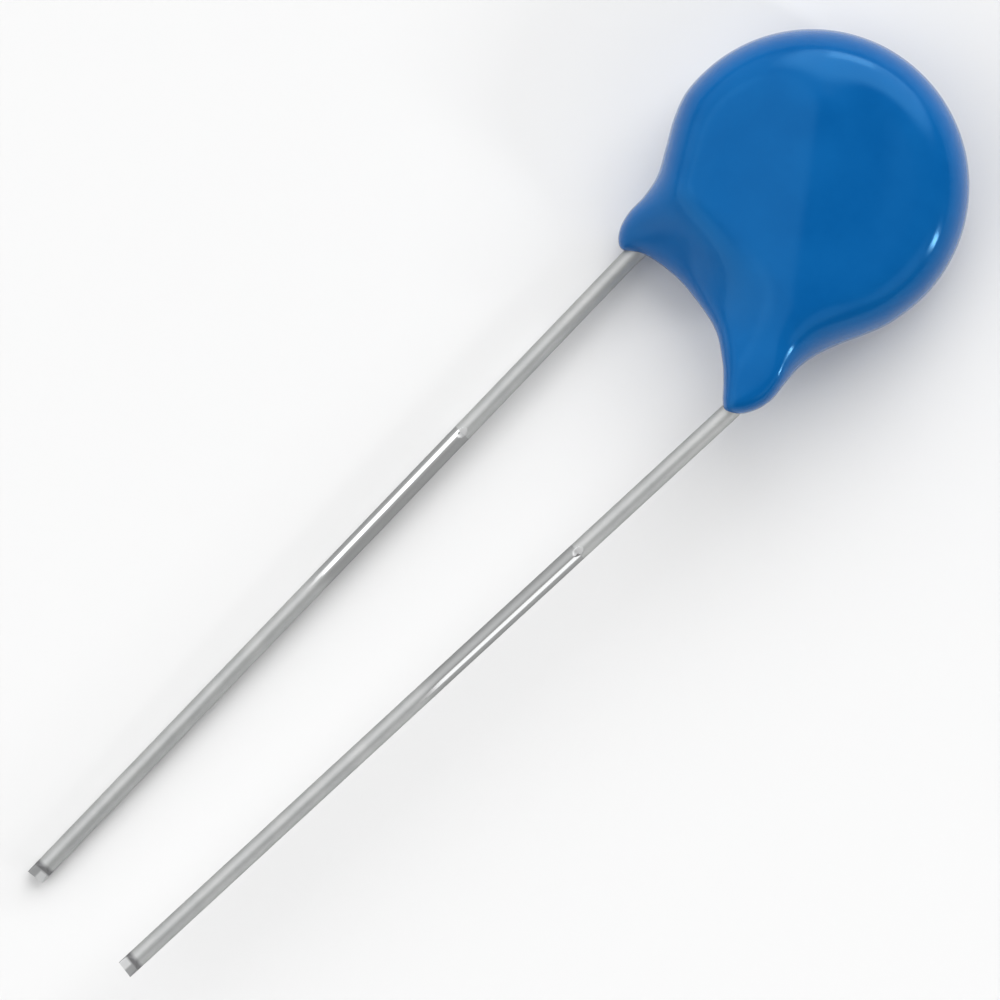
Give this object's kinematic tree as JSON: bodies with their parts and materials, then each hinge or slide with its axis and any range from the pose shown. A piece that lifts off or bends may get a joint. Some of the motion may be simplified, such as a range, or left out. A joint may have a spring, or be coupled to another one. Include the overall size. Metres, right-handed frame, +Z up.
{
  "type": "varistor",
  "caption": "Leaded metal-oxide varistor: a round ceramic disc dipped in glossy blue epoxy, with two straight tinned wires, lying on its back.",
  "frame": {"origin": "on the surface that the part lies on, under the middle of its bounding box", "axes": "+Z up, out of the front face of the disc; the leads run towards -Y; +X to the right of the front face"},
  "size_m": [0.0092, 0.0352, 0.004],
  "materials": {
    "blue_epoxy": "glossy dipped epoxy, mid blue",
    "tinned_wire": "satin tin plate on copper-clad wire",
    "zinc_oxide": "matte sintered ceramic, dark grey",
    "fired_silver": "matte fired silver",
    "solder": "satin solder"
  },
  "bodies": {
    "root": {"coating": "blue_epoxy", "ceramic_disc": "zinc_oxide", "front_electrode": "fired_silver", "back_electrode": "fired_silver", "front_solder": "solder", "back_solder": "solder", "left_lead": "tinned_wire", "right_lead": "tinned_wire"}
  },
  "joints": []
}
